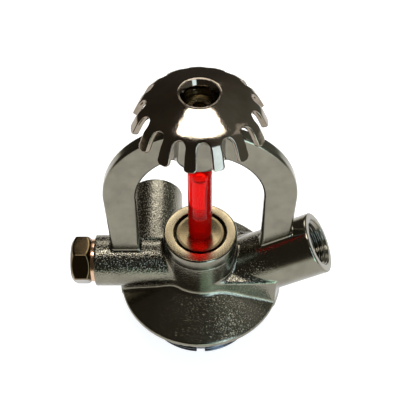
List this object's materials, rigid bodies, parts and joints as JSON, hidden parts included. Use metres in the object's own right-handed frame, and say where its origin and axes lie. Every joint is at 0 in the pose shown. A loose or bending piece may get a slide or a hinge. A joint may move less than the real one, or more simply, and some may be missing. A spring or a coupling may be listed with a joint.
{
  "type": "fire sprinkler head",
  "caption": "Glass-bulb fire sprinkler head with toothed deflector, yoke and cast valve body with threaded neck, gauge port, rear port and hex fill plug.",
  "frame": {"origin": "centre of the flange's underside, where the threaded neck begins", "axes": "+Z runs from the neck along the bulb to the deflector; the yoke's arms and the gauge port lie towards +X and -X in the XZ plane, the fill plug is on -X, and the rear port points to +Y"},
  "size_m": [0.0594, 0.0375, 0.0724],
  "materials": {
    "nickel_plate": "satin",
    "deflector_plate": "polished",
    "seat_brass": "satin",
    "cap_bronze": "satin",
    "plug_bronze": "satin",
    "screw_brass": "satin",
    "valve_brass": "satin",
    "washer_copper": "satin",
    "spring_plate": "satin",
    "spring_steel": "satin",
    "bulb_glass": "gloss",
    "bulb_liquid": "gloss",
    "seal_rubber": "matte",
    "gasket": "matte"
  },
  "bodies": {
    "root": {"valve_body": "nickel_plate", "neck_seal": "seal_rubber", "seat_bush": "seat_brass", "bush_gasket": "gasket", "disc_spring": "spring_plate", "seat_cap": "cap_bronze", "bulb_glass": "bulb_glass", "bulb_liquid": "bulb_liquid", "deflector": "deflector_plate", "fill_valve_ring": "valve_brass", "fill_valve_spring": "spring_steel", "gauge_valve_ring": "valve_brass", "gauge_valve_spring": "spring_steel", "rear_valve_ring": "valve_brass", "rear_valve_spring": "spring_steel"},
    "thrust_pin": {"thrust_pin": "screw_brass"},
    "load_screw": {"load_screw": "screw_brass"},
    "plug_washer": {"plug_washer": "washer_copper"},
    "fill_plug": {"fill_plug": "plug_bronze"},
    "fill_poppet": {"fill_valve_poppet": "valve_brass", "fill_valve_seal": "seal_rubber"},
    "gauge_poppet": {"gauge_valve_poppet": "valve_brass", "gauge_valve_seal": "seal_rubber"},
    "rear_poppet": {"rear_valve_poppet": "valve_brass", "rear_valve_seal": "seal_rubber"}
  },
  "joints": [
    {"name": "thrust_pin_slide", "type": "slide", "parent": "root", "child": "thrust_pin", "axis": [0, 0, 1], "range_m": [0, 0.003]},
    {"name": "load_screw_turn", "type": "hinge", "parent": "thrust_pin", "child": "load_screw", "pos_m": [0, 0, 0.0534], "axis": [0, 0, 1], "range_deg": [0, 1080]},
    {"name": "plug_back_off", "type": "slide", "parent": "root", "child": "plug_washer", "axis": [-1, 0, 0], "range_m": [0, 0.006]},
    {"name": "plug_turn", "type": "hinge", "parent": "plug_washer", "child": "fill_plug", "pos_m": [-0.0239, 0, 0.0079], "axis": [-1, 0, 0], "range_deg": [0, 2160]},
    {"name": "fill_poppet_slide", "type": "slide", "parent": "root", "child": "fill_poppet", "axis": [1, 0, 0], "range_m": [0, 0.001], "stiffness_N_per_m": 500, "springref_m": -0.002, "deforming": ["fill_valve_spring"]},
    {"name": "gauge_poppet_slide", "type": "slide", "parent": "root", "child": "gauge_poppet", "axis": [-0.866, 0, -0.5], "range_m": [0, 0.001], "stiffness_N_per_m": 500, "springref_m": -0.002, "deforming": ["gauge_valve_spring"]},
    {"name": "rear_poppet_slide", "type": "slide", "parent": "root", "child": "rear_poppet", "axis": [0, -1, 0], "range_m": [0, 0.001], "stiffness_N_per_m": 500, "springref_m": -0.002, "deforming": ["rear_valve_spring"]}
  ],
  "couplings": [
    {"joint": "load_screw_turn", "follows": "thrust_pin_slide", "rad_per_m": 6283.2},
    {"joint": "plug_turn", "follows": "plug_back_off", "rad_per_m": 6283.2}
  ]
}
